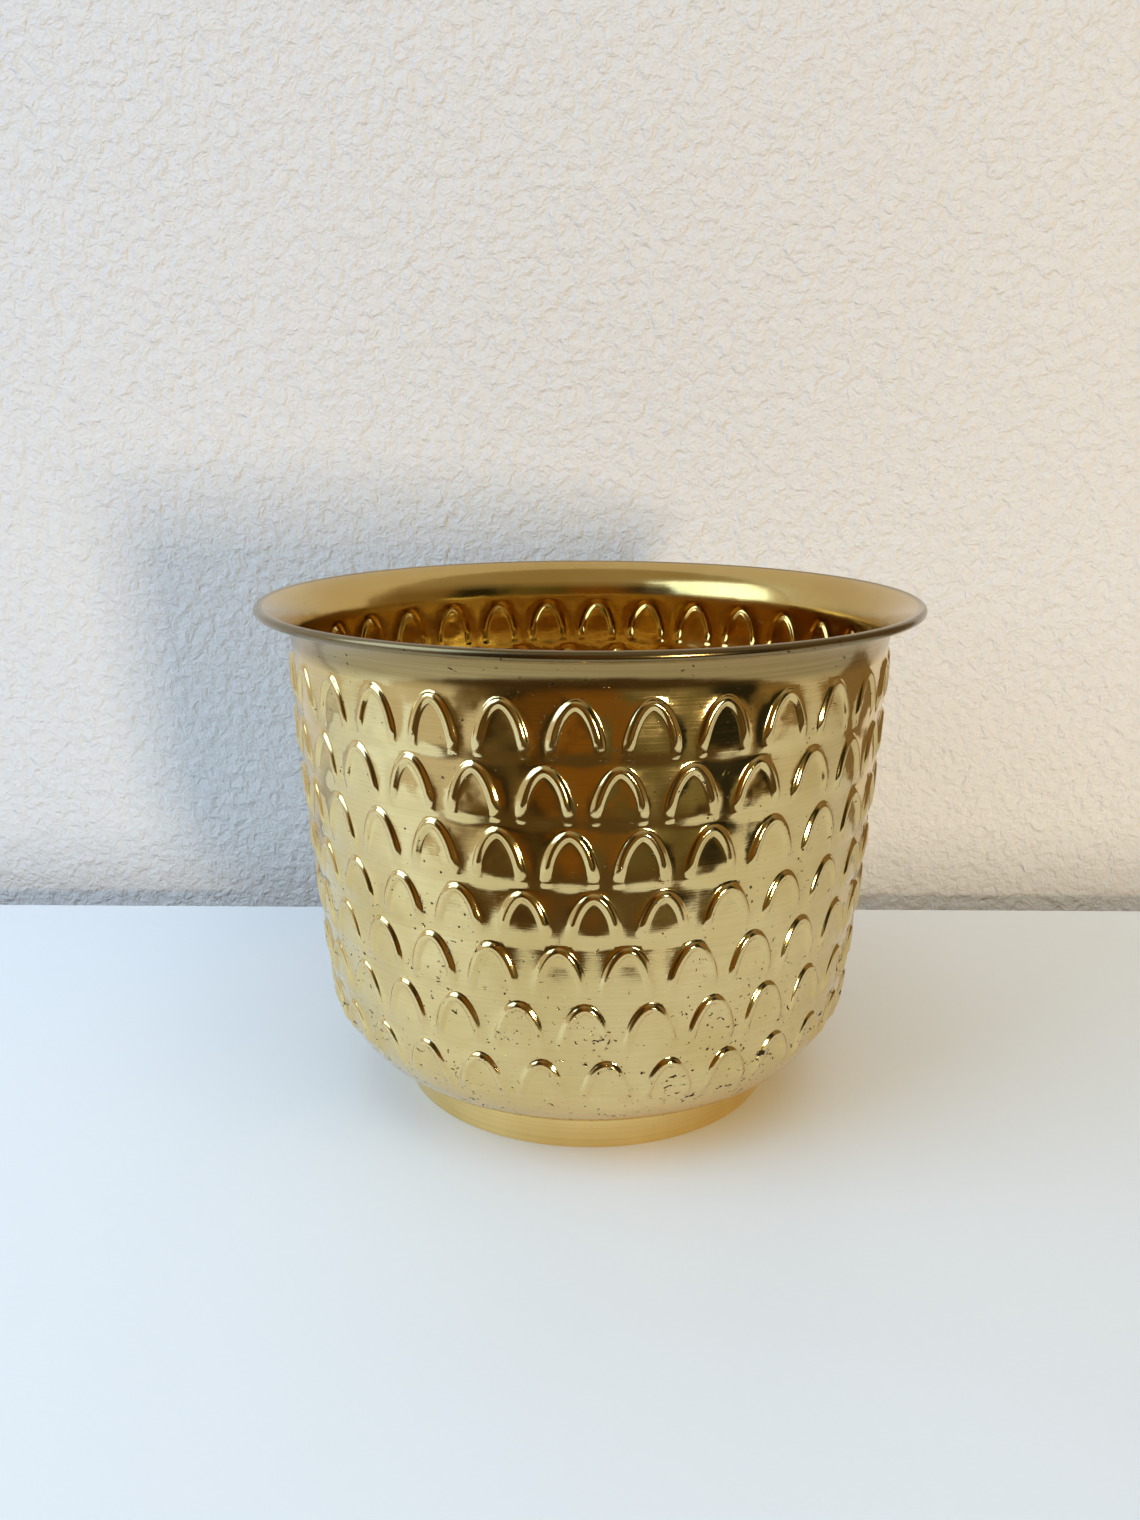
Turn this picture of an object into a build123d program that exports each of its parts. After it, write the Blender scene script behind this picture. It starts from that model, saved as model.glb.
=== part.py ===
"""Brass planter pot: a spun bowl with a wired, flared rim, standing on a soldered foot ring.

Units are millimetres.  +Z is up.  The origin is the centre of the circle on which the foot rests.
Every piece is a body of revolution about Z, so each one is drawn as a half section, in which the
first coordinate is the radius and the second the height, and is then turned through a full circle.
"""
from build123d import *
from math import acos, atan2, cos, degrees, hypot, radians, sin, sqrt
import os

# Overall size
RIM_DIAMETER = 240.0
POT_HEIGHT = 184.7

# Sheet, wire and the small gaps that keep the separate pieces apart
SHEET = 0.8
WIRE_DIAMETER = 1.7
WIRE_GAP = 0.03
JOINT_GAP = 0.02

# Bowl: the wall leaves the turned-in bottom at WALL_FOOT and bulges very slightly on its way up
FLOOR_UNDERSIDE = 12.3
WALL_FOOT = (98.2, 42.3)
WALL_BULGE_RADIUS = 1800.0

# Flare of the mouth: radius of its underside, and how steeply it arrives at the bead
FLARE_RADIUS = 15.0
FLARE_TIP_ANGLE = 108.0

# The sheet rolled around the wire ends at this angle, counted from straight outward
ROLL_END_ANGLE = -170.0

# Foot ring, tapering inward on its way down
FOOT_TOP_RADIUS = 72.0
FOOT_BASE_RADIUS = 70.8
FOOT_TOP_HEIGHT = 13.1
FOOT_THICKNESS = 1.6
FOOT_EDGE_ROUND = 0.4

# Solder in the corner between the ring and the underside of the bowl
SOLDER_REACH = 2.4


def polar(centre, radius, angle):
    """The point of a circle at an angle in degrees, counted anticlockwise from straight outward."""
    turn = radians(angle)
    return centre[0] + radius * cos(turn), centre[1] + radius * sin(turn)


def heading(start, end):
    """Direction in degrees from one point to another."""
    return degrees(atan2(end[1] - start[1], end[0] - start[0]))


def circle_crossing(centre_a, radius_a, centre_b, radius_b):
    """The crossing of two circles that lies to the left of the way from a to b."""
    gap = hypot(centre_b[0] - centre_a[0], centre_b[1] - centre_a[1])
    opening = acos((gap ** 2 + radius_a ** 2 - radius_b ** 2) / (2 * gap * radius_a))
    return polar(centre_a, radius_a, heading(centre_a, centre_b) + degrees(opening))


# Bead: the wire with the sheet rolled around it
BEAD_RADIUS = WIRE_DIAMETER / 2 + SHEET
BEAD_CENTRE = (RIM_DIAMETER / 2 - BEAD_RADIUS, POT_HEIGHT - BEAD_RADIUS)

# Flare: tangent to the bead at its tip and to the wall at its root
FLARE_CENTRE = polar(BEAD_CENTRE, FLARE_RADIUS + SHEET - BEAD_RADIUS, FLARE_TIP_ANGLE + 180)

# Wall: one long arc from WALL_FOOT to the flare
WALL_CENTRE = circle_crossing(WALL_FOOT, WALL_BULGE_RADIUS, FLARE_CENTRE, WALL_BULGE_RADIUS + FLARE_RADIUS)
WALL_FOOT_ANGLE = heading(WALL_CENTRE, WALL_FOOT)
WALL_TOP_ANGLE = heading(WALL_CENTRE, FLARE_CENTRE)
WALL_SWEEP = WALL_TOP_ANGLE - WALL_FOOT_ANGLE
FLARE_ROOT_ANGLE = WALL_TOP_ANGLE + 180

# Turn from the wall into the flat floor
TURN_RADIUS = (WALL_FOOT[1] - FLOOR_UNDERSIDE) / (1 + sin(radians(WALL_FOOT_ANGLE)))
TURN_CENTRE = polar(WALL_FOOT, TURN_RADIUS, WALL_FOOT_ANGLE + 180)


def revolved(section):
    """A solid of revolution from a half section."""
    return revolve(Plane.XZ * section, Axis.Z)


def bowl_face_line(depth):
    """One face of the bowl's sheet, from the axis to the end of the roll: 0 is the outer face."""
    floor_height = FLOOR_UNDERSIDE + depth
    roll_radius = BEAD_RADIUS - SHEET + depth
    return [
        Line((0, floor_height), (TURN_CENTRE[0], floor_height)),
        CenterArc(TURN_CENTRE, TURN_RADIUS - depth, -90, 90 + WALL_FOOT_ANGLE),
        CenterArc(WALL_CENTRE, WALL_BULGE_RADIUS - depth, WALL_FOOT_ANGLE, WALL_SWEEP),
        CenterArc(FLARE_CENTRE, FLARE_RADIUS + depth, FLARE_ROOT_ANGLE, FLARE_TIP_ANGLE - FLARE_ROOT_ANGLE),
        CenterArc(BEAD_CENTRE, roll_radius, FLARE_TIP_ANGLE, ROLL_END_ANGLE - FLARE_TIP_ANGLE),
    ]


def bowl_shell():
    """The bowl: floor, turn, wall, flare and the roll around the wire, all one sheet."""
    outer = bowl_face_line(0)
    inner = bowl_face_line(SHEET)
    axis_edge = Line((0, FLOOR_UNDERSIDE), (0, FLOOR_UNDERSIDE + SHEET))
    roll_inside = polar(BEAD_CENTRE, BEAD_RADIUS - SHEET, ROLL_END_ANGLE)
    roll_outside = polar(BEAD_CENTRE, BEAD_RADIUS, ROLL_END_ANGLE)
    roll_edge = Line(roll_inside, roll_outside)
    return revolved(make_face(Curve() + outer + inner + [axis_edge, roll_edge]))


def rim_wire():
    """The wire hoop that stiffens the mouth, hidden inside the rolled edge."""
    section = Pos(*BEAD_CENTRE) * Circle(WIRE_DIAMETER / 2 - WIRE_GAP)
    return revolved(section)


def foot_face(height, depth):
    """A point of the foot ring's face at a height: depth 0 is the outer face."""
    lean = (FOOT_TOP_RADIUS - FOOT_BASE_RADIUS) / FOOT_TOP_HEIGHT
    return FOOT_BASE_RADIUS + lean * height - depth, height


def bowl_underside():
    """A disc that fills the bowl's turned-in corner, with the joint's gap around it."""
    return Pos(*TURN_CENTRE) * Circle(TURN_RADIUS + JOINT_GAP)


def foot_ring():
    """The foot: a plain tapered hoop whose top edge is cut to the curve of the bowl."""
    above = FOOT_TOP_HEIGHT + SHEET
    corners = [
        foot_face(0, FOOT_THICKNESS),
        foot_face(0, 0),
        foot_face(above, 0),
        foot_face(above, FOOT_THICKNESS),
    ]
    hoop = make_face(Polyline(corners, close=True))
    base_corners = hoop.vertices().sort_by(Axis.Y)[:2]
    return revolved(fillet(base_corners, FOOT_EDGE_ROUND) - bowl_underside())


def turn_height(radius):
    """Height of the bowl's outer face at a radius within the turned-in corner."""
    return TURN_CENTRE[1] - sqrt(TURN_RADIUS ** 2 - (radius - TURN_CENTRE[0]) ** 2)


def foot_solder():
    """The fillet of solder inside the foot, in the corner that the ring makes with the bowl."""
    ring_side = FOOT_THICKNESS + JOINT_GAP
    corner = foot_face(FOOT_TOP_HEIGHT, ring_side)
    low = foot_face(turn_height(corner[0]) - SOLDER_REACH, ring_side)
    along_bowl = corner[0] - SOLDER_REACH
    inner = (along_bowl, turn_height(along_bowl))
    wedge = make_face(Polyline([corner, low, inner], close=True))
    return revolved(wedge - bowl_underside())


PARTS = {
    "bowl_shell": bowl_shell,
    "rim_wire": rim_wire,
    "foot_ring": foot_ring,
    "foot_solder": foot_solder,
}

os.makedirs("parts", exist_ok=True)
for name, make in PARTS.items():
    export_step(make(), f"parts/{name}.step")
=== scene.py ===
"""Brass planter pot with rows of raised, scale-shaped arches, on a pale table against a pale wall.

Everything is in metres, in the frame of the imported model: +Z up, origin under the centre of the foot.
The camera looks from the front, which is -Y.  Lengths that are easier to read in millimetres are
written as a number times MM.
"""
import math

import bpy
import numpy as np
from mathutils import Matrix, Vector
from mathutils.geometry import delaunay_2d_cdt


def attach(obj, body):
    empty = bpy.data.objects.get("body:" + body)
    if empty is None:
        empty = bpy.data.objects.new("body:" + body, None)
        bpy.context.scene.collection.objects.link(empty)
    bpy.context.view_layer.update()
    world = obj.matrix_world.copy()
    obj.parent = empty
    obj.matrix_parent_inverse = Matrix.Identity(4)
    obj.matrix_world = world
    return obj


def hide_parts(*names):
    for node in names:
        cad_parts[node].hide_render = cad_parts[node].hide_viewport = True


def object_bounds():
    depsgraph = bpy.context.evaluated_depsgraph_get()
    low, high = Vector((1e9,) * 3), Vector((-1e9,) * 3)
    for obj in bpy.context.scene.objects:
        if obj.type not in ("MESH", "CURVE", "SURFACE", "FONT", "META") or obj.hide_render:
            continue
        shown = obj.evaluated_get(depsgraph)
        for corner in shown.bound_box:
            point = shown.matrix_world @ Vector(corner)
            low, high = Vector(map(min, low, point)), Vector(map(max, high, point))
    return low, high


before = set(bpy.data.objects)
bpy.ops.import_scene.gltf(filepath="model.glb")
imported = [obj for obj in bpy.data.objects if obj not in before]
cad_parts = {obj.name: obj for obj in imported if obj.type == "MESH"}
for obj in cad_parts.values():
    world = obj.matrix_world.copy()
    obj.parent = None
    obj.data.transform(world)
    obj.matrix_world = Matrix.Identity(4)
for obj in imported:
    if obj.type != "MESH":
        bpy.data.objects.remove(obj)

CAD_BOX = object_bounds()

MM = 0.001

# Sheet and profile of the bowl, outer face
SHEET = 0.8 * MM
FLOOR_UNDERSIDE = 12.3 * MM
WALL_FOOT = np.array([98.2, 42.3]) * MM
WALL_BULGE_RADIUS = 1800.0 * MM
FLARE_RADIUS = 15.0 * MM
FLARE_TIP_ANGLE = 108.0
BEAD_RADIUS = 1.65 * MM
ROLL_END_ANGLE = -170.0

# Raised arches: seven rows of thirty
ARCHES_PER_ROW = 30
ROW_TOPS = np.array([168.5, 148.2, 128.1, 107.8, 89.3, 69.0, 48.3]) * MM
ROW_TURNS = (-2.0, 5.0, -3.0, 1.0, -5.0, -0.5, 3.5)
LAST_ROW_LENGTH = 20.4 * MM
ROW_MARGIN = 0.8 * MM
ARCH_HALF_WIDTH = 7.15 * MM
ARCH_SHOULDER = 13.0 * MM
ARCH_TIP_DROP = 1.45 * MM
LEG_CLEARANCE = 0.4 * MM
LEG_FADE_LENGTH = 5.0 * MM
LEG_END_SHARE = 0.20
RIDGE_HALF_WIDTH = 2.15 * MM
RIDGE_HEIGHT = 1.12 * MM
GROOVE_HALF_WIDTH = 1.8 * MM
GROOVE_HEIGHT = 0.95 * MM
SWELL_HEIGHT = 0.13 * MM
SWELL_WIDTH = 3.0 * MM
TUCK_DEPTH = 0.55 * MM
TUCK_BETWEEN = 0.25
TUCK_SHARE = 0.30
TUCK_DROP = 2.0 * MM

# Handles of the curve from an arch's tip to its shoulder, and how far its leg's curve leans
ARCH_TIP_HANDLE = 2.5 * MM
ARCH_SHOULDER_HANDLE = np.array([6.1, -4.6]) * MM
LEG_LEAN = 0.05

# The two faces of the sheet: depth inside the outer face, and the half width and height of an arch
OUTER_FACE = (0.0, RIDGE_HALF_WIDTH, RIDGE_HEIGHT)
INNER_FACE = (SHEET, GROOVE_HALF_WIDTH, GROOVE_HEIGHT)

# Differences between arches that were struck one by one: shift across and up, lean, and spread
ARCH_SEED = 5
ARCH_DIFFERENCES = (0.28 * MM, 0.22 * MM, 0.016, 0.012)

# How finely arches are meshed: points across the ridge, stations along it, spacing of the points beside it
OUTER_FINENESS = (7, 23, 2.2 * MM)
INNER_TOP_FINENESS = (7, 18, 3.4 * MM)
INNER_LOWER_FINENESS = (5, 10, 4.6 * MM)
TIP_CROWDING = 1.25
STRIP_END_SHARES = np.array([0.35, 0.7, 1.0])

# Points along the border of an arch's cell
RING_PER_ARCH = 24
SIDE_STEPS = 10

# Points beside the ridge, in shares of their spacing: between rows, from the cell's sides, from the
# nearest point of the strip or border, and from the strip's edge
PANEL_ROW_STEP = 0.87
PANEL_LEFT_MARGIN, PANEL_RIGHT_MARGIN = 0.6, 0.5
PANEL_POINT_CLEARANCE = 0.55
PANEL_STRIP_CLEARANCE = 0.35

# Where the swelling beside a ridge fades out: shares of the cell's width and height
SWELL_FADE_ACROSS = 0.12
SWELL_FADE_DOWN = 0.10

# Plain stretches of the sheet: columns round the pot, rings along each, and the width of the band in
# which the arches' fine border goes over to the coarser columns
PLAIN_COLUMNS = 180
FLARE_RINGS = 13
TURN_RINGS = 9
FLOOR_RINGS = 3
BEAD_RINGS = 17
HIDDEN_ROLL_RINGS = 6
UPPER_BAND = 1.2 * MM
LOWER_BAND = 1.6 * MM

# How far apart neighbours are taken for the slope of the surface: on arches, and on plain stretches
NORMAL_STEP = 0.07 * MM
STENCIL = ((0, 0), (1, 0), (-1, 0), (0, 1), (0, -1))
PLAIN_STEP_ANGLE = 0.002
PLAIN_STEP_LENGTH = 0.2 * MM

# Points that lie closer together than this are one point of the mesh
MERGE_DISTANCE = 0.004 * MM

# Samples of the profile's three arcs, points of an arch's two curves, and the share of a line's length
# to either side over which its direction is taken
TURN_SAMPLES, WALL_SAMPLES, FLARE_SAMPLES = 200, 400, 120
SHOULDER_POINTS, LEG_POINTS = 90, 20
DIRECTION_SPAN = 0.004


# ---------------------------------------------------------------------------
# Profile of the bowl's outer face, as a line that is walked by its length
# ---------------------------------------------------------------------------

def polar(centre, radius, degrees):
    """Points of a circle in the half section (radius, height)."""
    angle = np.radians(degrees)
    return np.stack([centre[0] + radius * np.cos(angle), centre[1] + radius * np.sin(angle)], -1)


def heading(start, end):
    """Direction in degrees from one point of the half section to another."""
    return math.degrees(math.atan2(end[1] - start[1], end[0] - start[0]))


def circle_crossing(centre_a, radius_a, centre_b, radius_b):
    """The crossing of two circles that lies to the left of the way from a to b."""
    gap = math.hypot(centre_b[0] - centre_a[0], centre_b[1] - centre_a[1])
    opening = math.acos((gap ** 2 + radius_a ** 2 - radius_b ** 2) / (2 * gap * radius_a))
    return polar(centre_a, radius_a, heading(centre_a, centre_b) + math.degrees(opening))


RIM_RADIUS = CAD_BOX[1][0]
POT_HEIGHT = CAD_BOX[1][2]
BEAD_CENTRE = np.array([RIM_RADIUS - BEAD_RADIUS, POT_HEIGHT - BEAD_RADIUS])
FLARE_CENTRE = polar(BEAD_CENTRE, FLARE_RADIUS + SHEET - BEAD_RADIUS, FLARE_TIP_ANGLE + 180)
WALL_CENTRE = circle_crossing(WALL_FOOT, WALL_BULGE_RADIUS, FLARE_CENTRE, WALL_BULGE_RADIUS + FLARE_RADIUS)
WALL_FOOT_ANGLE = heading(WALL_CENTRE, WALL_FOOT)
WALL_TOP_ANGLE = heading(WALL_CENTRE, FLARE_CENTRE)
TURN_RADIUS = (WALL_FOOT[1] - FLOOR_UNDERSIDE) / (1 + math.sin(math.radians(WALL_FOOT_ANGLE)))
TURN_CENTRE = polar(WALL_FOOT, TURN_RADIUS, WALL_FOOT_ANGLE + 180)


def profile_line():
    """Points and outward normals of the outer face, from the floor's edge up to the flare's tip."""
    turn = np.linspace(-90, WALL_FOOT_ANGLE, TURN_SAMPLES)
    wall = np.linspace(WALL_FOOT_ANGLE, WALL_TOP_ANGLE, WALL_SAMPLES)[1:]
    flare = np.linspace(WALL_TOP_ANGLE + 180, FLARE_TIP_ANGLE, FLARE_SAMPLES)[1:]
    points = np.concatenate([
        polar(TURN_CENTRE, TURN_RADIUS, turn),
        polar(WALL_CENTRE, WALL_BULGE_RADIUS, wall),
        polar(FLARE_CENTRE, FLARE_RADIUS, flare),
    ])
    angles = np.radians(np.concatenate([turn, wall, flare - 180]))
    normals = np.stack([np.cos(angles), np.sin(angles)], -1)
    return points, normals


PROFILE, PROFILE_NORMALS = profile_line()
PROFILE_LENGTH = np.concatenate([[0], np.cumsum(np.linalg.norm(np.diff(PROFILE, axis=0), axis=1))])


def profile_at(length):
    """Radius, height and normal of the outer face at a length along the profile."""
    columns = [PROFILE[:, 0], PROFILE[:, 1], PROFILE_NORMALS[:, 0], PROFILE_NORMALS[:, 1]]
    return [np.interp(length, PROFILE_LENGTH, column) for column in columns]


def length_at_height(height):
    """Length along the profile at which the outer face reaches a height."""
    return np.interp(height, PROFILE[:, 1], PROFILE_LENGTH)


# Row borders, as lengths along the profile: each row's top is just above its arches
ROW_BORDERS = length_at_height(ROW_TOPS + ROW_MARGIN)
ROW_BORDERS = np.append(ROW_BORDERS, ROW_BORDERS[-1] - LAST_ROW_LENGTH)
TUCK_LEVELS = ROW_BORDERS[:-1] - TUCK_DROP


# ---------------------------------------------------------------------------
# Slow unevenness of hand-finished sheet, and the tuck between the rows
# ---------------------------------------------------------------------------

def smooth_step(share):
    """A share from 0 to 1, eased at both ends."""
    return share * share * (3 - 2 * share)


def ripple_waves(seed, count, turns, climbs, height):
    """Random waves (turns round the pot, climbs up it, phase, height) for a seamless unevenness."""
    rng = np.random.default_rng(seed)
    waves = []
    for _ in range(count):
        turn = int(rng.integers(turns[0], turns[1] + 1))
        climb = rng.uniform(-climbs, climbs)
        size = height * rng.uniform(0.4, 1.0)
        waves.append((turn, climb, rng.uniform(0, 2 * math.pi), size))
    return waves


FOOT_CLEAR_LENGTH = 18.0 * MM
FOOT_FADE_LENGTH = 12.0 * MM
RIM_FADE_LENGTH = 20.0 * MM

BROAD_WAVES = ripple_waves(seed=11, count=9, turns=(2, 9), climbs=60.0, height=0.10 * MM)
FINE_WAVES = ripple_waves(seed=23, count=26, turns=(14, 60), climbs=420.0, height=0.0125 * MM)


def unevenness(angle, length):
    """How far the sheet stands out from its true shape."""
    out = np.zeros_like(angle)
    for turn, climb, phase, size in BROAD_WAVES + FINE_WAVES:
        out += size * np.sin(turn * angle + climb * length + phase)
    rim = np.clip((PROFILE_LENGTH[-1] - length) / RIM_FADE_LENGTH, 0, 1)
    foot = np.clip((length - FOOT_CLEAR_LENGTH) / FOOT_FADE_LENGTH, 0, 1)
    return out * smooth_step(np.minimum(rim, foot))


def row_tuck(angle, length):
    """Each scale leans out a little on its way down, then tucks back in above the next row."""
    out = np.zeros_like(length)
    for turn, top, bottom in zip(ROW_TURNS, TUCK_LEVELS[:-1], TUCK_LEVELS[1:]):
        share = (top - length) / (top - bottom)
        inside = (share > 0) & (share < 1)
        lean = np.sin(0.5 * math.pi * np.clip(share / (1 - TUCK_SHARE), 0, 1)) ** 2
        back = 0.5 - 0.5 * np.cos(math.pi * np.clip((1 - share) / TUCK_SHARE, 0, 1))
        across = np.cos(0.5 * ARCHES_PER_ROW * (angle - math.radians(turn))) ** 2
        depth = TUCK_DEPTH * (TUCK_BETWEEN + (1 - TUCK_BETWEEN) * across)
        out = np.where(inside, depth * np.minimum(lean, back), out)
    return out


# ---------------------------------------------------------------------------
# One arch: its centre line and the height of its ridge
# ---------------------------------------------------------------------------

def bezier(p0, p1, p2, p3, count):
    """Points of a cubic curve."""
    t = np.linspace(0, 1, count)[:, None]
    p0, p1, p2, p3 = (np.array(p, float) for p in (p0, p1, p2, p3))
    return (1 - t) ** 3 * p0 + 3 * (1 - t) ** 2 * t * p1 + 3 * (1 - t) * t ** 2 * p2 + t ** 3 * p3


def arch_centre_line(leg_end):
    """Centre line of an arch, from one leg's end over the tip to the other; (0, 0) is the tip."""
    half = bezier((0, 0), (ARCH_TIP_HANDLE, 0), ARCH_SHOULDER_HANDLE, (ARCH_HALF_WIDTH, -ARCH_SHOULDER),
                  SHOULDER_POINTS)
    third = (-ARCH_SHOULDER - leg_end) / 3
    leg = bezier(half[-1], half[-1] + (LEG_LEAN * third, -third), (ARCH_HALF_WIDTH, leg_end + third),
                 (ARCH_HALF_WIDTH, leg_end), LEG_POINTS)[1:]
    right = np.concatenate([half, leg])
    left = right[:0:-1] * (-1, 1)
    return np.concatenate([left, right])


def resample(line, stations):
    """Points of a line at given shares of its length, with the unit direction there."""
    steps = np.linalg.norm(np.diff(line, axis=0), axis=1)
    along = np.concatenate([[0], np.cumsum(steps)]) / steps.sum()
    points, ahead, behind = (
        np.stack([np.interp(np.clip(stations + shift, 0, 1), along, line[:, i]) for i in (0, 1)], -1)
        for shift in (0.0, DIRECTION_SPAN, -DIRECTION_SPAN)
    )
    direction = ahead - behind
    return points, direction / np.linalg.norm(direction, axis=1)[:, None]


def distance_to_line(x, y, line):
    """Distance of each point from a line."""
    start, step = line[:-1], np.diff(line, axis=0)
    size = (step ** 2).sum(1)
    best = np.full(x.shape, np.inf)
    for (sx, sy), (dx, dy), s2 in zip(start, step, size):
        t = np.clip(((x - sx) * dx + (y - sy) * dy) / s2, 0, 1)
        best = np.minimum(best, (x - sx - t * dx) ** 2 + (y - sy - t * dy) ** 2)
    return np.sqrt(best)


def inside_outline(point, outline):
    """Whether a point lies inside a closed outline."""
    x, y = point
    here, there = outline, np.roll(outline, -1, axis=0)
    spans = (here[:, 1] > y) != (there[:, 1] > y)
    rise = np.where(spans, there[:, 1] - here[:, 1], 1.0)
    crossing = here[:, 0] + (y - here[:, 1]) * (there[:, 0] - here[:, 0]) / rise
    return bool(np.sum(spans & (x < crossing)) % 2)


def ridge_height(distance, half_width, height):
    """Section of the ridge, a rounded bell."""
    across = np.clip(distance / half_width, 0, 1)
    return height * (1 - across ** 2) ** 1.5


def swell_height(distance, half_width):
    """Faint swelling of the sheet, under the ridge and beside it."""
    beyond = np.clip(distance - half_width, 0, None) / SWELL_WIDTH
    return SWELL_HEIGHT * np.exp(-beyond ** 2)


class ArchCell:
    """The flat template of one arch and the sheet around it, shared by all arches of a row."""

    def __init__(self, top, bottom, half_width, height, across, stations, panel_step):
        self.top, self.bottom = top, bottom
        self.half_width, self.height = half_width, height
        self.cell_height = top - bottom
        tip_drop = ROW_MARGIN + ARCH_TIP_DROP
        leg_end = tip_drop - self.cell_height + RIDGE_HALF_WIDTH + LEG_CLEARANCE
        self.line = arch_centre_line(leg_end) - (0, tip_drop)
        self.cell_width = 2 * math.pi * profile_at((top + bottom) / 2)[0] / ARCHES_PER_ROW
        self.build(across, stations, panel_step)

    def build(self, across, stations, panel_step):
        """Lays out the ridge's strip of quads, the panels' points, and triangulates the panels."""
        reach = self.half_width
        line_length = np.linalg.norm(np.diff(self.line, axis=0), axis=1).sum()
        overshoot = reach / line_length
        spread = np.linspace(-1, 1, stations)
        inner = 0.5 + 0.5 * np.sign(spread) * np.abs(spread) ** TIP_CROWDING
        ends = STRIP_END_SHARES * overshoot
        shares = np.concatenate([-ends[::-1], inner, 1 + ends])
        points, direction = resample(self.line, np.clip(shares, 0, 1))
        spill = (shares - np.clip(shares, 0, 1)) * line_length
        points = points + direction * spill[:, None]
        side = np.stack([direction[:, 1], -direction[:, 0]], -1)
        offsets = np.linspace(-reach, reach, across)
        strip = points[:, None, :] + side[:, None, :] * offsets[None, :, None]
        rows, columns = strip.shape[:2]
        self.strip_shape = (rows, columns)
        strip_points = strip.reshape(-1, 2)
        index = np.arange(rows * columns).reshape(rows, columns)
        self.quads = [
            (index[i, j], index[i, j + 1], index[i + 1, j + 1], index[i + 1, j])
            for i in range(rows - 1) for j in range(columns - 1)
        ]
        outline = np.concatenate([index[:, 0], index[-1, 1:], index[-2::-1, -1], index[0, -2:0:-1]])
        border, border_edges = self.border_points(len(strip_points))
        panel = self.panel_points(strip_points, border, panel_step)
        self.points = np.concatenate([strip_points, border, panel])
        edges = [(int(a), int(b)) for a, b in zip(outline, np.roll(outline, -1))] + border_edges
        self.triangulate(edges, outline, len(strip_points))
        self.samples = []
        for du, dv in STENCIL:
            u = self.points[:, 0] + du * NORMAL_STEP
            v = self.points[:, 1] + dv * NORMAL_STEP
            self.samples.append((u, v, self.relief(u, v)))

    def border_points(self, first):
        """Evenly spaced points around the cell, so that neighbours share them."""
        half = self.cell_width / 2
        across = np.linspace(-half, half, RING_PER_ARCH + 1)
        down = np.linspace(0, -self.cell_height, SIDE_STEPS + 1)[1:-1]
        top = np.stack([across, np.zeros_like(across)], -1)
        right = np.stack([np.full_like(down, half), down], -1)
        bottom = np.stack([across[::-1], np.full_like(across, -self.cell_height)], -1)
        left = np.stack([np.full_like(down, -half), down[::-1]], -1)
        border = np.concatenate([top, right, bottom, left])
        count = len(border)
        edges = [(first + i, first + (i + 1) % count) for i in range(count)]
        return border, edges

    def panel_points(self, strip_points, border, step):
        """Staggered points over the flat parts, kept clear of the ridge and the border."""
        half = self.cell_width / 2
        taken = np.concatenate([strip_points, border])
        rows = int(self.cell_height / (step * PANEL_ROW_STEP))
        found = []
        for j in range(1, rows):
            y = -self.cell_height * j / rows
            shift = 0.5 * step * (j % 2)
            left = -half + step * PANEL_LEFT_MARGIN + shift
            for x in np.arange(left, half - step * PANEL_RIGHT_MARGIN, step):
                clear = np.min(np.hypot(taken[:, 0] - x, taken[:, 1] - y))
                off_line = distance_to_line(np.array([x]), np.array([y]), self.line)[0]
                off_strip = off_line - self.half_width
                if clear > PANEL_POINT_CLEARANCE * step and off_strip > PANEL_STRIP_CLEARANCE * step:
                    found.append((x, y))
        return np.array(found)

    def triangulate(self, edges, outline, strip_count):
        """Fills everything outside the ridge's strip with triangles."""
        points = [Vector(p / MM) for p in self.points]
        out = delaunay_2d_cdt(points, edges, [], 0, 1e-6)
        verts, faces, origin = out[0], out[2], out[3]
        if len(verts) != len(points):
            raise RuntimeError("the arch template has crossing edges")
        source = [o[0] for o in origin]
        self.triangles = []
        for face in faces:
            corners = [source[v] for v in face]
            (ax, ay), (bx, by), (cx, cy) = self.points[corners]
            if (bx - ax) * (cy - ay) < (cx - ax) * (by - ay):
                corners.reverse()
            centre = self.points[corners].mean(0)
            if all(c < strip_count for c in corners) and inside_outline(centre, self.points[outline]):
                continue
            self.triangles.append(tuple(corners))

    def relief(self, u, v):
        """Height of the ridge over the plain sheet at points of the template."""
        distance = distance_to_line(u, v, self.line)
        rim_u = np.clip((self.cell_width / 2 - np.abs(u)) / (SWELL_FADE_ACROSS * self.cell_width), 0, 1)
        rim_v = np.clip(np.minimum(-v, v + self.cell_height) / (SWELL_FADE_DOWN * self.cell_height), 0, 1)
        swell = swell_height(distance, self.half_width) * rim_u * rim_v
        leg_end = self.line[:, 1].min()
        fade = smooth_step(np.clip((v - leg_end) / LEG_FADE_LENGTH, 0, 1))
        share = LEG_END_SHARE + (1 - LEG_END_SHARE) * fade
        return share * (ridge_height(distance, self.half_width, self.height) + swell)


def warp_cell(cell, u, v, jitter):
    """Moves an arch slightly within its cell, leaving the cell's border alone."""
    across = np.cos(math.pi * u / cell.cell_width) ** 2
    down = np.sin(math.pi * np.clip(-v / cell.cell_height, 0, 1)) ** 2
    hold = across * down
    shift_u, shift_v, lean, spread = jitter
    return (u + hold * (shift_u + lean * (v + cell.cell_height / 2) + spread * u), v + hold * shift_v)


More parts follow.
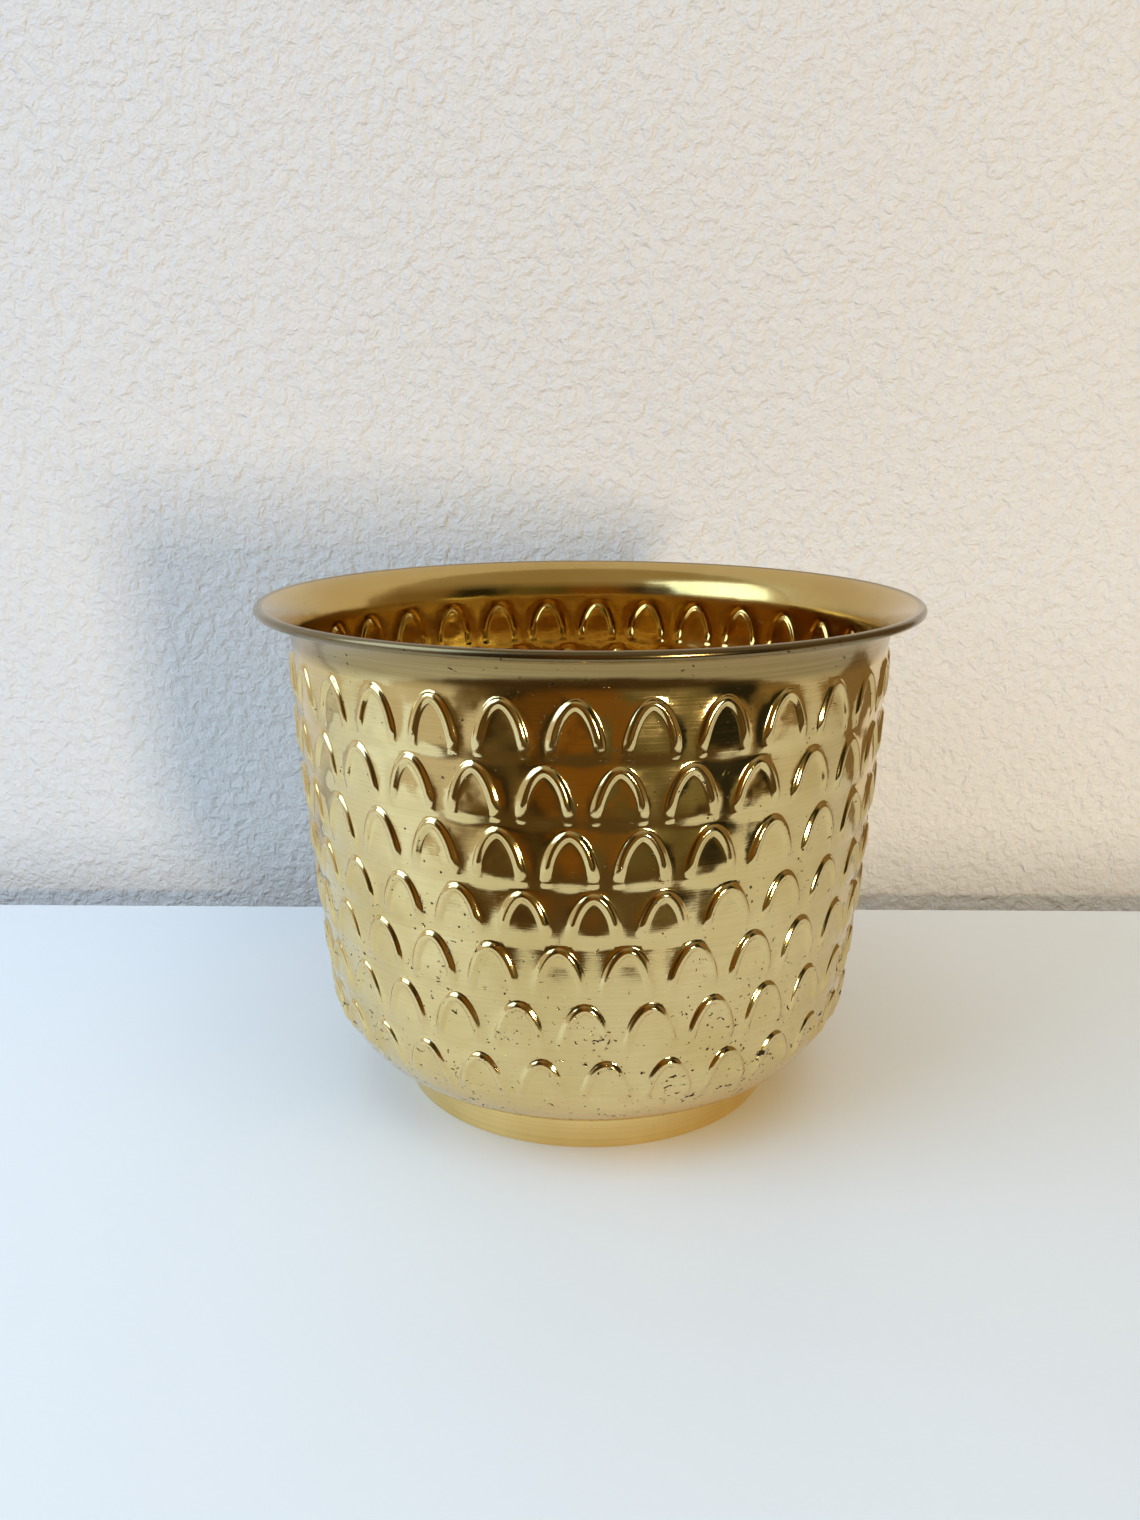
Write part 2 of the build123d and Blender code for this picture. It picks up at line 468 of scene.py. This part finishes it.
def sheet_point(angle, length, raised, depth):
    """A point of the bowl's sheet: raised above the outer face's plain shape, or depth inside it."""
    radius, height, out, up = profile_at(length)
    stand = raised - depth + unevenness(angle, length) + row_tuck(angle, length)
    r = radius + out * stand
    return np.stack([r * np.sin(angle), -r * np.cos(angle), height + up * stand], -1)


def cell_surface(cell, u, v, raised, jitter, turn, depth):
    """Points of the sheet over a template's points, at an arch's place round the pot."""
    warped_u, warped_v = warp_cell(cell, u, v, jitter)
    angle = turn + warped_u / cell.cell_width * (2 * math.pi / ARCHES_PER_ROW)
    return sheet_point(angle, cell.top + warped_v, raised, depth)


def placed_arch(cell, jitter, turn, depth):
    """Points and outward normals of an arch and the sheet around it, at its place round the pot."""
    here, right, left, above, below = (
        cell_surface(cell, u, v, raised, jitter, turn, depth) for u, v, raised in cell.samples
    )
    normal = np.cross(right - left, above - below)
    return here, normal / np.linalg.norm(normal, axis=1)[:, None]


# ---------------------------------------------------------------------------
# A mesh under construction, whose points are joined where they meet
# ---------------------------------------------------------------------------

def linked(name, data):
    """A new object in the scene, with this data."""
    thing = bpy.data.objects.new(name, data)
    bpy.context.scene.collection.objects.link(thing)
    return thing


class Shell:
    """Vertices with their own normals, and faces."""

    def __init__(self):
        self.points, self.normals, self.faces = [], [], []
        self.count = 0

    def add(self, points, normals, faces, flip=False):
        """Adds a patch."""
        first = self.count
        self.points.append(points)
        self.normals.append(-normals if flip else normals)
        for face in faces:
            corners = tuple(int(c) + first for c in face)
            self.faces.append(corners[::-1] if flip else corners)
        self.count += len(points)

    def mesh(self, name, material):
        """The finished object, with coincident points merged and smooth shading from the normals."""
        points = np.concatenate(self.points)
        normals = np.concatenate(self.normals)
        keys = np.round(points / MERGE_DISTANCE).astype(np.int64)
        _, first, inverse = np.unique(keys, axis=0, return_index=True, return_inverse=True)
        inverse = inverse.reshape(-1)
        summed = np.zeros((len(first), 3))
        np.add.at(summed, inverse, normals)
        faces = []
        for face in self.faces:
            corners = [int(inverse[c]) for c in face]
            distinct = [c for i, c in enumerate(corners) if c != corners[i - 1]]
            if len(set(distinct)) > 2:
                faces.append(distinct)
        data = bpy.data.meshes.new(name)
        data.from_pydata(points[first].tolist(), [], faces)
        data.update()
        data.shade_smooth()
        length = np.linalg.norm(summed, axis=1)[:, None]
        data.normals_split_custom_set_from_vertices((summed / np.maximum(length, 1e-9)).tolist())
        data.materials.append(material)
        return linked(name, data)


def ring_angles(columns):
    """Evenly spaced angles round the pot."""
    return np.linspace(0, 2 * math.pi, columns, endpoint=False)


def ring_faces(rings):
    """Quads between closed rings of the plain columns, one ring after another."""
    faces = []
    for i in range(rings - 1):
        here, there = i * PLAIN_COLUMNS, (i + 1) * PLAIN_COLUMNS
        for j in range(PLAIN_COLUMNS):
            k = (j + 1) % PLAIN_COLUMNS
            faces.append((here + j, here + k, there + k, there + j))
    return faces


def plain_sheet(angles, lengths, depth):
    """Points and outward normals of the sheet where it has no arches."""
    across = (sheet_point(angles + PLAIN_STEP_ANGLE, lengths, 0.0, depth)
              - sheet_point(angles - PLAIN_STEP_ANGLE, lengths, 0.0, depth))
    up = (sheet_point(angles, lengths + PLAIN_STEP_LENGTH, 0.0, depth)
          - sheet_point(angles, lengths - PLAIN_STEP_LENGTH, 0.0, depth))
    normals = np.cross(across, up)
    return sheet_point(angles, lengths, 0.0, depth), normals / np.linalg.norm(normals, axis=1)[:, None]


def turned_patch(shell, section, normals, flip=False):
    """Adds a surface of revolution from points and normals of the half section."""
    angles = ring_angles(PLAIN_COLUMNS)

    def turned(pairs):
        """Pairs of (outward, up) carried round the axis."""
        outward, up = pairs[:, 0][:, None], pairs[:, 1][:, None]
        ring = [outward * np.sin(angles), -outward * np.cos(angles), np.repeat(up, PLAIN_COLUMNS, 1)]
        return np.stack(ring, -1).reshape(-1, 3)

    shell.add(turned(section), turned(normals), ring_faces(len(section)), flip)


def uneven_rings(shell, lengths, depth):
    """Adds a plain stretch of the sheet, which shares the wall's slow unevenness."""
    angles = np.tile(ring_angles(PLAIN_COLUMNS), len(lengths))
    points, normals = plain_sheet(angles, np.repeat(lengths, PLAIN_COLUMNS), depth)
    shell.add(points, normals, ring_faces(len(lengths)), flip=depth > 0)


def ring_bridge(shell, fine_length, coarse_length, depth):
    """Joins the arches' border, a ring of many points, to a ring of the plain columns."""
    fine_columns = RING_PER_ARCH * ARCHES_PER_ROW
    share = fine_columns // PLAIN_COLUMNS
    angles = np.concatenate([ring_angles(fine_columns), ring_angles(PLAIN_COLUMNS)])
    lengths = np.repeat([fine_length, coarse_length], [fine_columns, PLAIN_COLUMNS])
    points, normals = plain_sheet(angles, lengths, depth)
    faces = []
    middle = share // 2 + 1
    downward = coarse_length < fine_length
    for j in range(PLAIN_COLUMNS):
        left = fine_columns + j
        right = fine_columns + (j + 1) % PLAIN_COLUMNS
        fines = [(j * share + i) % fine_columns for i in range(share + 1)]
        fan = [(fines[i], fines[i + 1], left) for i in range(middle)]
        fan += [(fines[middle], right, left)]
        fan += [(fines[i], fines[i + 1], right) for i in range(middle, share)]
        faces += [f[::-1] if downward else f for f in fan]
    shell.add(points, normals, faces, flip=depth > 0)


# ---------------------------------------------------------------------------
# The bowl: one sheet, with arches raised on its outer face and hollow on its inner face
# ---------------------------------------------------------------------------

def arch_jitter(rng):
    """Small differences of one arch from the others."""
    return tuple(rng.normal(0, size) for size in ARCH_DIFFERENCES)


def add_rows(shell, jitters, rows, face, fineness):
    """Adds rows of arches to one face of the sheet."""
    depth, half_width, height = face
    for row in rows:
        cell = ArchCell(ROW_BORDERS[row], ROW_BORDERS[row + 1], half_width, height, *fineness)
        for place, jitter in enumerate(jitters[row]):
            angle = math.radians(ROW_TURNS[row] + 360.0 / ARCHES_PER_ROW * place)
            points, normals = placed_arch(cell, jitter, angle, depth)
            shell.add(points, normals, cell.quads + cell.triangles, flip=depth > 0)


def add_floor(shell, depth):
    """Adds the flat floor, from the axis to its edge."""
    radius = np.linspace(0, TURN_CENTRE[0], FLOOR_RINGS)
    points = np.stack([radius, np.full(FLOOR_RINGS, FLOOR_UNDERSIDE + depth)], -1)
    turned_patch(shell, points, np.tile([0.0, -1.0], (FLOOR_RINGS, 1)), flip=depth > 0)


def add_bead(shell):
    """Adds the sheet's roll around the wire: its outside, its hidden inside, and its cut edge."""
    for radius, rings, facing in ((BEAD_RADIUS, BEAD_RINGS, 1), (BEAD_RADIUS - SHEET, HIDDEN_ROLL_RINGS, -1)):
        start, end = (ROLL_END_ANGLE, FLARE_TIP_ANGLE)[::facing]
        points = polar(BEAD_CENTRE, radius, np.linspace(start, end, rings))
        turned_patch(shell, points, facing * (points - BEAD_CENTRE) / radius)
    ends = polar(BEAD_CENTRE, np.array([BEAD_RADIUS - SHEET, BEAD_RADIUS]), ROLL_END_ANGLE)
    edge_angle = math.radians(ROLL_END_ANGLE - 90)
    turned_patch(shell, ends, np.tile([math.cos(edge_angle), math.sin(edge_angle)], (2, 1)))


def build_bowl(material):
    """The spun bowl with its rows of arches and its rolled rim."""
    rng = np.random.default_rng(ARCH_SEED)
    jitters = [[arch_jitter(rng) for _ in range(ARCHES_PER_ROW)] for _ in ROW_TURNS]
    rows = range(len(ROW_TURNS))
    shell = Shell()
    add_rows(shell, jitters, rows, OUTER_FACE, OUTER_FINENESS)
    add_rows(shell, jitters, rows[:1], INNER_FACE, INNER_TOP_FINENESS)
    add_rows(shell, jitters, rows[1:], INNER_FACE, INNER_LOWER_FINENESS)
    flare_foot = ROW_BORDERS[0] + UPPER_BAND
    turn_top = ROW_BORDERS[-1] - LOWER_BAND
    for depth in (0.0, SHEET):
        ring_bridge(shell, ROW_BORDERS[0], flare_foot, depth)
        uneven_rings(shell, np.linspace(flare_foot, PROFILE_LENGTH[-1], FLARE_RINGS), depth)
        ring_bridge(shell, ROW_BORDERS[-1], turn_top, depth)
        uneven_rings(shell, np.linspace(0, turn_top, TURN_RINGS), depth)
        add_floor(shell, depth)
    add_bead(shell)
    return shell.mesh("bowl", material)


# ---------------------------------------------------------------------------
# Materials
# ---------------------------------------------------------------------------

class Nodes:
    """A short way to write the nodes of a material or of the world."""

    def __init__(self, owner):
        owner.use_nodes = True
        self.owner = owner
        self.tree = owner.node_tree
        self.shader = self.tree.nodes.get("Principled BSDF")

    def add(self, kind, inputs=(), **settings):
        """Adds a node, sets its properties and its inputs, and returns it."""
        node = self.tree.nodes.new(kind)
        for key, value in settings.items():
            setattr(node, key, value)
        for key, value in dict(inputs).items():
            self.set(node.inputs[key], value)
        return node

    def set(self, socket, value):
        """Links an output to a socket, or sets the socket's own value."""
        if isinstance(value, bpy.types.NodeSocket):
            self.tree.links.new(value, socket)
        else:
            socket.default_value = value

    def math(self, operation, *values, clamp=False):
        """A Math node's result."""
        node = self.add("ShaderNodeMath", enumerate(values), operation=operation, use_clamp=clamp)
        return node.outputs[0]

    def position(self):
        """Coordinates in metres, in the pot's frame."""
        return self.add("ShaderNodeTexCoord").outputs["Object"]

    def noise(self, vector, scale, detail=2.0, roughness=0.5, distortion=0.0):
        """Noise from 0 to 1."""
        node = self.add("ShaderNodeTexNoise", {
            "Vector": vector, "Scale": scale, "Detail": detail,
            "Roughness": roughness, "Distortion": distortion,
        })
        return node.outputs["Fac"]

    def spread(self, value, low, high, to_low=0.0, to_high=1.0):
        """Maps a range of values to another, clamped."""
        node = self.add("ShaderNodeMapRange", {
            "Value": value, "From Min": low, "From Max": high, "To Min": to_low, "To Max": to_high,
        })
        return node.outputs["Result"]

    def mix(self, share, a, b):
        """A colour between two."""
        node = self.add("ShaderNodeMix", data_type="RGBA")
        self.set(node.inputs[0], share)
        self.set(node.inputs[6], a)
        self.set(node.inputs[7], b)
        return node.outputs[2]

    def scaled(self, vector, factors):
        """A vector with each part multiplied."""
        node = self.add("ShaderNodeVectorMath", {0: vector, 1: factors}, operation="MULTIPLY")
        return node.outputs[0]

    def parts(self, vector):
        """X, Y and Z."""
        return self.add("ShaderNodeSeparateXYZ", {0: vector}).outputs

    def joined(self, x, y, z):
        """A vector from its parts."""
        return self.add("ShaderNodeCombineXYZ", {0: x, 1: y, 2: z}).outputs[0]

    def axis_distance(self, x, y):
        """Distance from the pot's axis."""
        squares = self.math("ADD", self.math("MULTIPLY", x, x), self.math("MULTIPLY", y, y))
        return self.math("SQRT", squares)

    def bump(self, height, distance, strength=1.0, normal=None):
        """A bumped normal."""
        node = self.add("ShaderNodeBump", {"Height": height, "Distance": distance, "Strength": strength})
        if normal is not None:
            self.set(node.inputs["Normal"], normal)
        return node.outputs["Normal"]

    def look(self, **sockets):
        """Sets the shader's sockets; an underscore stands for a space."""
        for key, value in sockets.items():
            self.set(self.shader.inputs[key.replace("_", " ")], value)
        return self.owner


# Heights over which the brass turns browner, on the way up into the flare
FLARE_TINT = (0.1685, 0.1725)

# How far inside the rim's edge the bead's tarnish starts, and where it is full
BEAD_TINT = (3.3 * MM, 2.7 * MM)

# Heights between which the pits grow more crowded, downward
CROWDED_BELOW = (0.125, 0.050)

# Colours of the bowl's brass: outside, inside, flare, lathe lines, bead, and the dirt in the pits
OUTER_BRASS = ((0.72, 0.53, 0.21, 1), (0.82, 0.64, 0.30, 1))
INNER_BRASS = ((0.66, 0.41, 0.10, 1), (0.78, 0.55, 0.18, 1))
FLARE_INSIDE = (0.46, 0.35, 0.15, 1)
FLARE_UNDERSIDE = (0.30, 0.20, 0.07, 1)
LATHE_LINE = (0.50, 0.34, 0.12, 1)
BEAD_TARNISH = (0.17, 0.13, 0.065, 1)
PIT_DIRT = (0.045, 0.025, 0.010, 1)

# Scale of the slow swirl that breaks up the lathe lines
SWIRL = 26.0


def lathe_lines(n, position, stretch=7000.0):
    """Very fine lines that run round the pot, as a polishing wheel leaves them."""
    x, y, z = n.parts(position)
    swirl = n.scaled(n.joined(x, y, 0.0), (SWIRL, SWIRL, SWIRL))
    line = n.scaled(n.joined(n.axis_distance(x, y), z, 0.0), (stretch, stretch, 0.0))
    sx, sy, _ = n.parts(swirl)
    lx, ly, _ = n.parts(line)
    place = n.joined(n.math("ADD", sx, lx), n.math("ADD", sy, ly), n.math("ADD", lx, ly))
    return n.noise(place, 0.25, 3.0, 0.6)


def inside_mask(n, x, y):
    """1 on the faces that look towards the pot's axis, and on the top of the floor."""
    normal = n.add("ShaderNodeNewGeometry").outputs["Normal"]
    outward = n.add("ShaderNodeVectorMath", {0: normal, 1: n.joined(x, y, 0.0)}, operation="DOT_PRODUCT")
    threshold = n.math("MULTIPLY_ADD", n.parts(normal)[2], 0.02, -0.002)
    return n.math("LESS_THAN", outward.outputs["Value"], threshold)


def pitted_dirt(n, position, z, inner):
    """Dark pits in clusters and round specks, more of them low down, fewer on the inside."""
    low = n.spread(z, *CROWDED_BELOW)
    clusters = n.noise(position, 55.0, 3.0, 0.6)
    crowding = n.math("ADD", n.math("MULTIPLY", low, 0.06), n.math("MULTIPLY", clusters, 0.34))
    pitting = n.noise(n.scaled(position, (1.0, 1.0, 1.25)), 420.0, 3.0, 0.62, 0.4)
    pits = n.spread(n.math("ADD", pitting, crowding), 0.880, 0.893)
    cells = n.add("ShaderNodeTexVoronoi", {"Vector": position, "Scale": 380.0, "Randomness": 1.0})
    size_noise = n.math("ADD", n.noise(position, 70.0, 1.0), n.math("MULTIPLY", low, 0.03))
    specks = n.math("LESS_THAN", cells.outputs["Distance"], n.spread(size_noise, 0.53, 0.76, 0.0, 0.22))
    outside = n.math("SUBTRACT", 1.0, n.math("MULTIPLY", inner, 0.8))
    return n.math("MULTIPLY", n.math("MAXIMUM", pits, n.math("MULTIPLY", specks, 0.9)), outside)


def polished_brass():
    """Polished brass: bright outside, oranger inside, browner on the flare, tarnished bead, dark pits."""
    n = Nodes(bpy.data.materials.new("polished_brass"))
    position = n.position()
    x, y, z = n.parts(position)
    inner = inside_mask(n, x, y)
    flare = n.spread(z, *FLARE_TINT)
    bead = n.spread(n.axis_distance(x, y), *(RIM_RADIUS - inset for inset in BEAD_TINT))
    lines = lathe_lines(n, position)
    streaks = lathe_lines(n, position, 2200.0)
    cloud = n.noise(position, 26.0, 4.0, 0.6)
    dirt = pitted_dirt(n, position, z, inner)

    base = n.mix(n.spread(cloud, 0.35, 0.68), *OUTER_BRASS)
    base = n.mix(inner, base, n.mix(n.spread(cloud, 0.3, 0.7), *INNER_BRASS))
    base = n.mix(n.math("MULTIPLY", n.math("MULTIPLY", flare, inner), 0.45), base, FLARE_INSIDE)
    under = n.math("MULTIPLY", flare, n.math("SUBTRACT", 1.0, inner))
    streaked = n.math("MULTIPLY", under, n.spread(streaks, 0.3, 0.6, 0.70, 0.95))
    base = n.mix(streaked, base, FLARE_UNDERSIDE)
    base = n.mix(n.math("MULTIPLY", n.spread(lines, 0.42, 0.72), 0.28), base, LATHE_LINE)
    tarnish = n.math("MULTIPLY", bead, n.spread(streaks, 0.35, 0.60, 0.95, 0.55))
    base = n.mix(tarnish, base, BEAD_TARNISH)
    base = n.mix(dirt, base, PIT_DIRT)

    rough = n.math("ADD", 0.07, n.math("MULTIPLY", n.spread(lines, 0.35, 0.7), 0.06))
    rough = n.math("ADD", rough, n.math("MULTIPLY", n.spread(cloud, 0.5, 0.8), 0.05))
    rough = n.math("ADD", rough, n.math("MULTIPLY", flare, 0.08))
    rough = n.math("MAXIMUM", rough, n.math("MULTIPLY", tarnish, 0.30))
    rough = n.math("MAXIMUM", rough, n.math("MULTIPLY", dirt, 0.7))
    bumped = n.bump(lines, 0.012 * MM)
    bumped = n.bump(n.noise(position, 130.0, 2.0), 0.05 * MM, 1.0, bumped)
    bumped = n.bump(n.math("SUBTRACT", 1.0, dirt), 0.03 * MM, 1.0, bumped)
    return n.look(Base_Color=base, Metallic=1.0, Roughness=rough, Normal=bumped,
                  Coat_Weight=0.2, Coat_Roughness=0.1, Coat_IOR=1.45)


def foot_brass():
    """Yellower brass of the foot, with clear lines from the lathe and a few dark specks."""
    n = Nodes(bpy.data.materials.new("foot_brass"))
    position = n.position()
    lines = lathe_lines(n, position, 4200.0)
    cloud = n.noise(position, 35.0, 3.0, 0.6)
    pits = n.spread(n.noise(position, 380.0, 3.0, 0.6), 0.73, 0.75)
    base = n.mix(n.spread(cloud, 0.3, 0.7), (0.86, 0.64, 0.25, 1), (0.93, 0.73, 0.33, 1))
    base = n.mix(n.math("MULTIPLY", n.spread(lines, 0.45, 0.75), 0.35), base, (0.62, 0.42, 0.13, 1))
    base = n.mix(pits, base, (0.05, 0.025, 0.01, 1))
    rough = n.math("ADD", 0.11, n.math("MULTIPLY", n.spread(lines, 0.3, 0.75), 0.12))
    bumped = n.bump(lines, 0.02 * MM)
    bumped = n.bump(n.noise(position, 90.0, 2.0), 0.05 * MM, 1.0, bumped)
    return n.look(Base_Color=base, Metallic=1.0, Roughness=rough, Normal=bumped)


def grey_solder():
    """Dull, slightly lumpy solder."""
    n = Nodes(bpy.data.materials.new("grey_solder"))
    position = n.position()
    lumps = n.noise(position, 160.0, 4.0, 0.6)
    base = n.mix(n.spread(lumps, 0.35, 0.7), (0.33, 0.32, 0.29, 1), (0.58, 0.56, 0.50, 1))
    return n.look(Base_Color=base, Metallic=0.9, Roughness=n.spread(lumps, 0.3, 0.7, 0.5, 0.32),
                  Normal=n.bump(lumps, 0.25 * MM))


def steel_wire():
    """Drawn steel wire with a thin brown film."""
    n = Nodes(bpy.data.materials.new("steel_wire"))
    position = n.position()
    film = n.noise(position, 120.0, 4.0, 0.65)
    base = n.mix(n.spread(film, 0.4, 0.65), (0.44, 0.43, 0.42, 1), (0.24, 0.15, 0.09, 1))
    return n.look(Base_Color=base, Metallic=0.95, Roughness=n.spread(film, 0.35, 0.7, 0.28, 0.6),
                  Normal=n.bump(film, 0.03 * MM))


# ---------------------------------------------------------------------------
# Stage, light and camera
# ---------------------------------------------------------------------------

TABLE_FRONT_Y = -0.236
TABLE_BACK_Y = 0.1566
TABLE_HALF_LENGTH = 0.9
TABLE_THICKNESS = 0.03
TABLE_EDGE_ROUND = 2 * MM
WALL_Y = 0.181
WALL_LOW = -0.6
WALL_TOP = 1.3
WALL_RIGHT_END = 0.345

# The camera: its place, how far it looks down and to the left in degrees, its lens and sensor in
# millimetres, and the nearest and farthest distance that it sees
CAMERA_PLACE = (0.0, -0.4626, 0.2455)
CAMERA_DOWN = 14.973
CAMERA_LEFT = 0.866
CAMERA_LENS = 29.84
CAMERA_SENSOR = 36.0
CAMERA_RANGE = (0.01, 20.0)

# What the lights point at, part of the way up the pot
LIT_POINT = (0, 0, 0.12)


def slab(name, low, high, material, bevel):
    """A box-shaped stage piece with rounded edges."""
    (x0, y0, z0), (x1, y1, z1) = low, high
    corners = [(x, y, z) for z in (z0, z1) for y in (y0, y1) for x in (x0, x1)]
    faces = [(0, 2, 3, 1), (4, 5, 7, 6), (0, 1, 5, 4), (2, 6, 7, 3), (0, 4, 6, 2), (1, 3, 7, 5)]
    data = bpy.data.meshes.new(name)
    data.from_pydata(corners, [], faces)
    data.materials.append(material)
    piece = linked(name, data)
    rounding = piece.modifiers.new("edges", "BEVEL")
    rounding.width = bevel
    rounding.segments = 3


def table_material():
    """White, slightly glossy table top."""
    n = Nodes(bpy.data.materials.new("stage_table"))
    position = n.position()
    cloud = n.noise(position, 3.0, 2.0)
    base = n.mix(cloud, (0.86, 0.89, 0.93, 1), (0.88, 0.91, 0.95, 1))
    bumped = n.bump(n.noise(position, 45.0, 2.0), 0.02 * MM)
    return n.look(Base_Color=base, Roughness=0.34, Specular_IOR_Level=0.3, Normal=bumped)


def wall_material():
    """Pale wall with a fine rolled texture, which is clear from behind."""
    n = Nodes(bpy.data.materials.new("stage_wall"))
    position = n.position()
    dimples = n.noise(position, 170.0, 3.0, 0.6, 0.3)
    bumped = n.bump(n.spread(dimples, 0.35, 0.7), 1.0 * MM)
    n.look(Base_Color=(0.71, 0.705, 0.70, 1), Roughness=0.75, Normal=bumped)
    back = n.add("ShaderNodeNewGeometry").outputs["Backfacing"]
    clear = n.add("ShaderNodeBsdfTransparent")
    choice = n.add("ShaderNodeMixShader", {0: back, 1: n.shader.outputs[0], 2: clear.outputs[0]})
    n.tree.links.new(choice.outputs[0], n.tree.nodes["Material Output"].inputs["Surface"])
    return n.owner


def build_wall(material):
    """The wall behind the pot, facing it."""
    left, right = -TABLE_HALF_LENGTH, WALL_RIGHT_END
    corners = [(left, WALL_LOW), (right, WALL_LOW), (right, WALL_TOP), (left, WALL_TOP)]
    data = bpy.data.meshes.new("stage_wall")
    data.from_pydata([(x, WALL_Y, z) for x, z in corners], [], [(0, 1, 2, 3)])
    data.materials.append(material)
    linked("stage_wall", data)


# The room that the brass mirrors: degrees from the front towards +X, and the colour seen there
ROOM_BANDS = (
    (-150, (0.30, 0.27, 0.20, 1)),
    (-100, (0.64, 0.62, 0.58, 1)),
    (-60, (0.62, 0.60, 0.55, 1)),
    (-48, (0.16, 0.11, 0.045, 1)),
    (-24, (0.030, 0.021, 0.009, 1)),
    (-11, (0.21, 0.090, 0.012, 1)),
    (8, (0.19, 0.090, 0.014, 1)),
    (14, (0.11, 0.090, 0.032, 1)),
    (36, (0.17, 0.14, 0.055, 1)),
    (43, (0.012, 0.013, 0.006, 1)),
    (60, (0.018, 0.017, 0.008, 1)),
    (70, (0.25, 0.165, 0.068, 1)),
    (150, (0.24, 0.16, 0.07, 1)),
)


# Where the room's floor and ceiling fade in, as the height of the direction looked in, and their colours
FLOOR_FADE, FLOOR_COLOUR = (-0.36, -0.50), (0.10, 0.062, 0.022, 1)
CEILING_FADE, CEILING_COLOUR = (0.38, 0.72), (0.41, 0.35, 0.24, 1)
BAND_WOBBLE = 0.09


def build_world():
    """A room seen softly: brown floor, bands of furniture and wall at eye level, pale ceiling."""
    world = bpy.data.worlds.new("room")
    bpy.context.scene.world = world
    n = Nodes(world)
    direction = n.add("ShaderNodeTexCoord").outputs["Generated"]
    x, y, z = n.parts(direction)
    turn = n.math("DIVIDE", n.math("ARCTAN2", x, n.math("MULTIPLY", y, -1.0)), 2 * math.pi)
    unevenly = n.math("SUBTRACT", n.noise(direction, 2.2, 3.0, 0.6), 0.5)
    wobble = n.math("MULTIPLY", unevenly, BAND_WOBBLE)
    ramp = n.add("ShaderNodeValToRGB", {"Fac": n.math("ADD", n.math("ADD", turn, 0.5), wobble)})
    elements = ramp.color_ramp.elements
    while len(elements) < len(ROOM_BANDS):
        elements.new(0.5)
    for element, (degrees, value) in zip(elements, ROOM_BANDS):
        element.position = 0.5 + degrees / 360
        element.color = value
    shade = n.mix(n.spread(z, *FLOOR_FADE), ramp.outputs["Color"], FLOOR_COLOUR)
    shade = n.mix(n.spread(z, *CEILING_FADE), shade, CEILING_COLOUR)
    background = n.tree.nodes["Background"]
    n.set(background.inputs["Color"], shade)
    background.inputs["Strength"].default_value = 1.0


def area_light(name, place, size, power, tint, aim=LIT_POINT, mirrored=True):
    """A soft rectangular light, which the brass either mirrors or is only lit by."""
    data = bpy.data.lights.new(name, "AREA")
    data.shape = "RECTANGLE"
    data.size, data.size_y = size
    data.energy = power
    data.color = tint
    lamp = linked(name, data)
    lamp.location = place
    lamp.rotation_euler = (Vector(aim) - Vector(place)).to_track_quat("-Z", "Y").to_euler()
    lamp.visible_glossy = mirrored


def build_camera():
    """The camera at the photograph's viewing angle."""
    data = bpy.data.cameras.new("camera")
    data.sensor_width = CAMERA_SENSOR
    data.lens = CAMERA_LENS
    data.clip_start, data.clip_end = CAMERA_RANGE
    camera = linked("camera", data)
    camera.location = CAMERA_PLACE
    camera.rotation_euler = (math.radians(90 - CAMERA_DOWN), 0.0, math.radians(CAMERA_LEFT))
    bpy.context.scene.camera = camera


brass = polished_brass()
bowl = build_bowl(brass)
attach(bowl, "root")
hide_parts("bowl_shell")

cad_looks = {"rim_wire": steel_wire(), "foot_ring": foot_brass(), "foot_solder": grey_solder()}
for node, material in cad_looks.items():
    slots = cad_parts[node].data.materials
    slots.clear()
    slots.append(material)

slab("stage_table", (-TABLE_HALF_LENGTH, TABLE_FRONT_Y, -TABLE_THICKNESS),
     (TABLE_HALF_LENGTH, TABLE_BACK_Y, 0.0), table_material(), bevel=TABLE_EDGE_ROUND)
build_wall(wall_material())
build_world()
area_light("warm_lamp", place=(1.27, -2.27, 0.02), size=(0.34, 0.42), power=36, tint=(1.0, 0.82, 0.60))
area_light("cool_window", place=(-1.2, -0.6, 0.9), size=(1.2, 1.2), power=16.5, tint=(0.47, 0.69, 1.0))
area_light("warm_fill", place=(1.3, -0.9, 0.7), size=(1.0, 1.0), power=6.5, tint=(1.0, 0.70, 0.34),
           mirrored=False)
area_light("ceiling_fill", place=(0, -0.7, 1.6), size=(1.6, 1.4), power=9.8, tint=(0.62, 0.85, 1.0),
           aim=(0, 0, 0), mirrored=False)
build_camera()
bpy.context.scene.view_settings.view_transform = "Standard"
